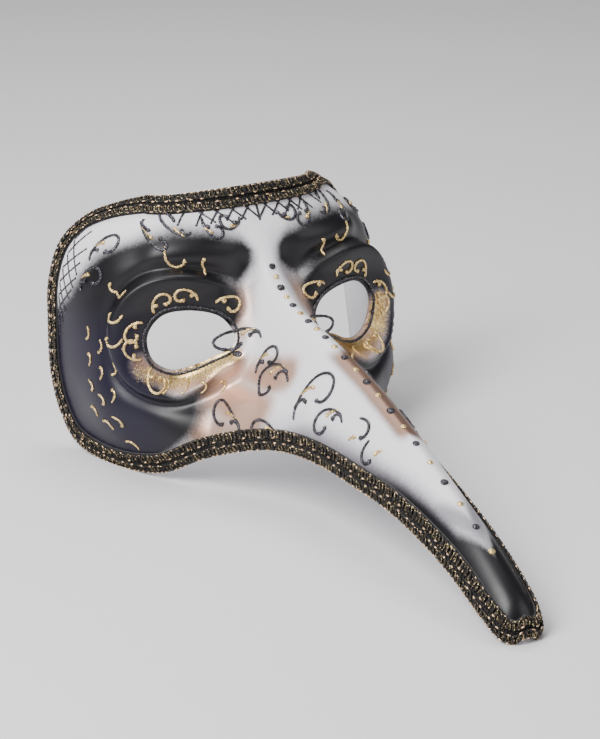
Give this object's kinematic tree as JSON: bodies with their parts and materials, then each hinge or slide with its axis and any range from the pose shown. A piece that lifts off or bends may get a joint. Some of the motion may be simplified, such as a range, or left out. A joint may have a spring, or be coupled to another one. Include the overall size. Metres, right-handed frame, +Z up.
{
  "type": "long-nosed masquerade half mask",
  "caption": "Painted half mask with a long hanging nose, goggle-rimmed eye holes, braid edging and glitter dots down its ridge.",
  "frame": {"origin": "on the table under the middle of the mask's box", "axes": "+Z up with the mask resting on its nose tip and lower temple corners, -Y the way the nose points, +X the wearer's left"},
  "size_m": [0.154, 0.2792, 0.12],
  "materials": {
    "painted_shell": "semi-gloss white with soft black, grey, copper and gold airbrushed clouds; bare white inside",
    "black_gimp": "black looped gimp braid with metallic gold stitches",
    "gold_gimp": "gold metallic looped gimp braid over black",
    "black_glitter": "hard black glitter glue",
    "gold_glitter": "hard gold glitter glue",
    "felt": "matt black felt",
    "ribbon": "black satin ribbon"
  },
  "bodies": {
    "root": {"mask_shell": "painted_shell", "braid_outer_row": "black_gimp", "braid_core": "black_gimp", "braid_inner_row": "gold_gimp", "left_eye_bead": "black_glitter", "right_eye_bead": "black_glitter", "black_dot_01": "black_glitter", "gold_dot_01": "gold_glitter", "black_dot_02": "black_glitter", "gold_dot_02": "gold_glitter", "black_dot_03": "black_glitter", "gold_dot_03": "gold_glitter", "black_dot_04": "black_glitter", "gold_dot_04": "gold_glitter", "black_dot_05": "black_glitter", "gold_dot_05": "gold_glitter", "black_dot_06": "black_glitter", "gold_dot_06": "gold_glitter", "black_dot_07": "black_glitter", "gold_dot_07": "gold_glitter", "black_dot_08": "black_glitter", "gold_dot_08": "gold_glitter", "black_dot_09": "black_glitter", "gold_dot_09": "gold_glitter", "black_dot_10": "black_glitter", "gold_dot_10": "gold_glitter", "black_dot_11": "black_glitter", "gold_dot_11": "gold_glitter", "left_tie_patch": "felt", "right_tie_patch": "felt", "left_tie_loop": "ribbon", "right_tie_loop": "ribbon"}
  },
  "joints": []
}
